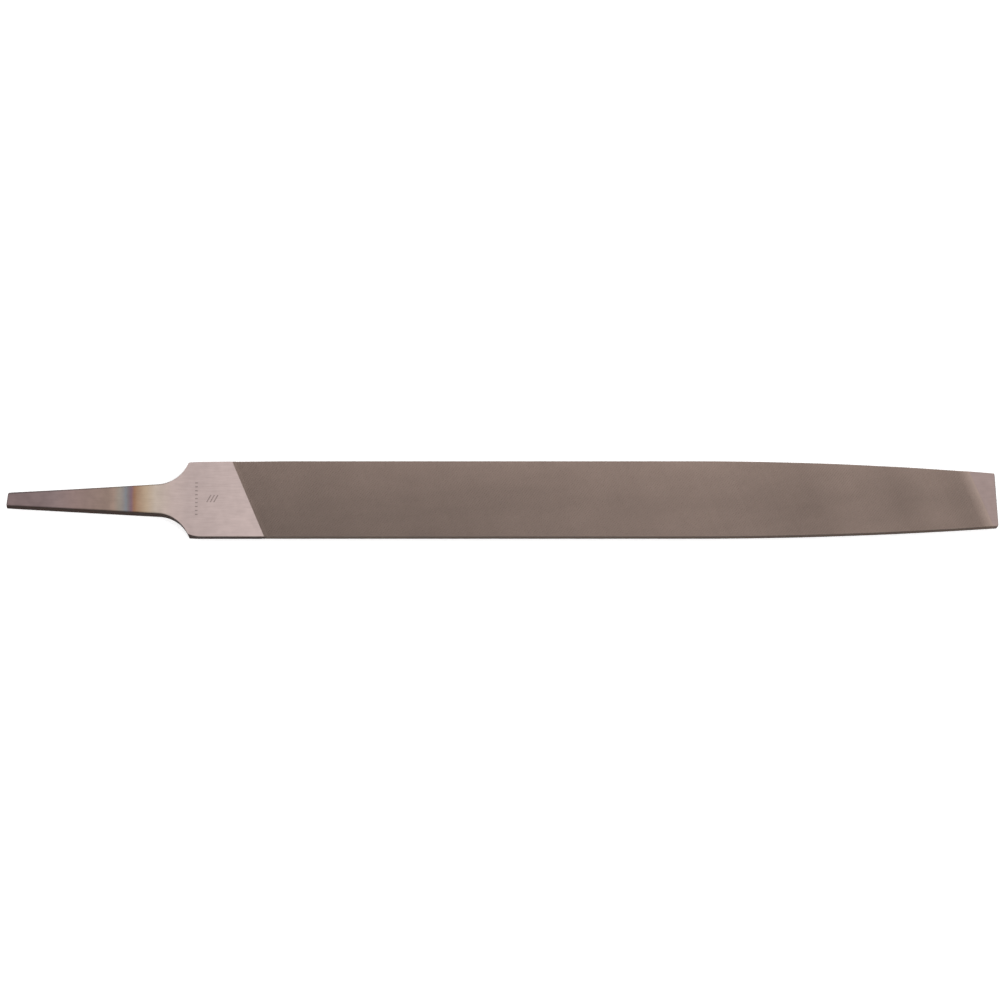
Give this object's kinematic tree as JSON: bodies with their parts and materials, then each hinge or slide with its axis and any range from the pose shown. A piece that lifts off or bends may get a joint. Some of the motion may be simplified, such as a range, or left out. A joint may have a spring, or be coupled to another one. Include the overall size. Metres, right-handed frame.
{
  "type": "flat file",
  "caption": "Flat metalworking file without a handle: parallel body with slanted rows of teeth, taper to a blunt point, smooth heel, curved shoulders and a tapered tang.",
  "frame": {"origin": "bottom centre of the file's box, on the lower face", "axes": "+X along the file from the tang to the point, +Y across it, +Z out of the upper face"},
  "size_m": [0.3118, 0.024, 0.0056],
  "materials": {
    "file_steel": "chisel-cut teeth, ground heel, heat-tinted tang"
  },
  "bodies": {
    "root": {"flat_file": "file_steel"}
  },
  "joints": []
}
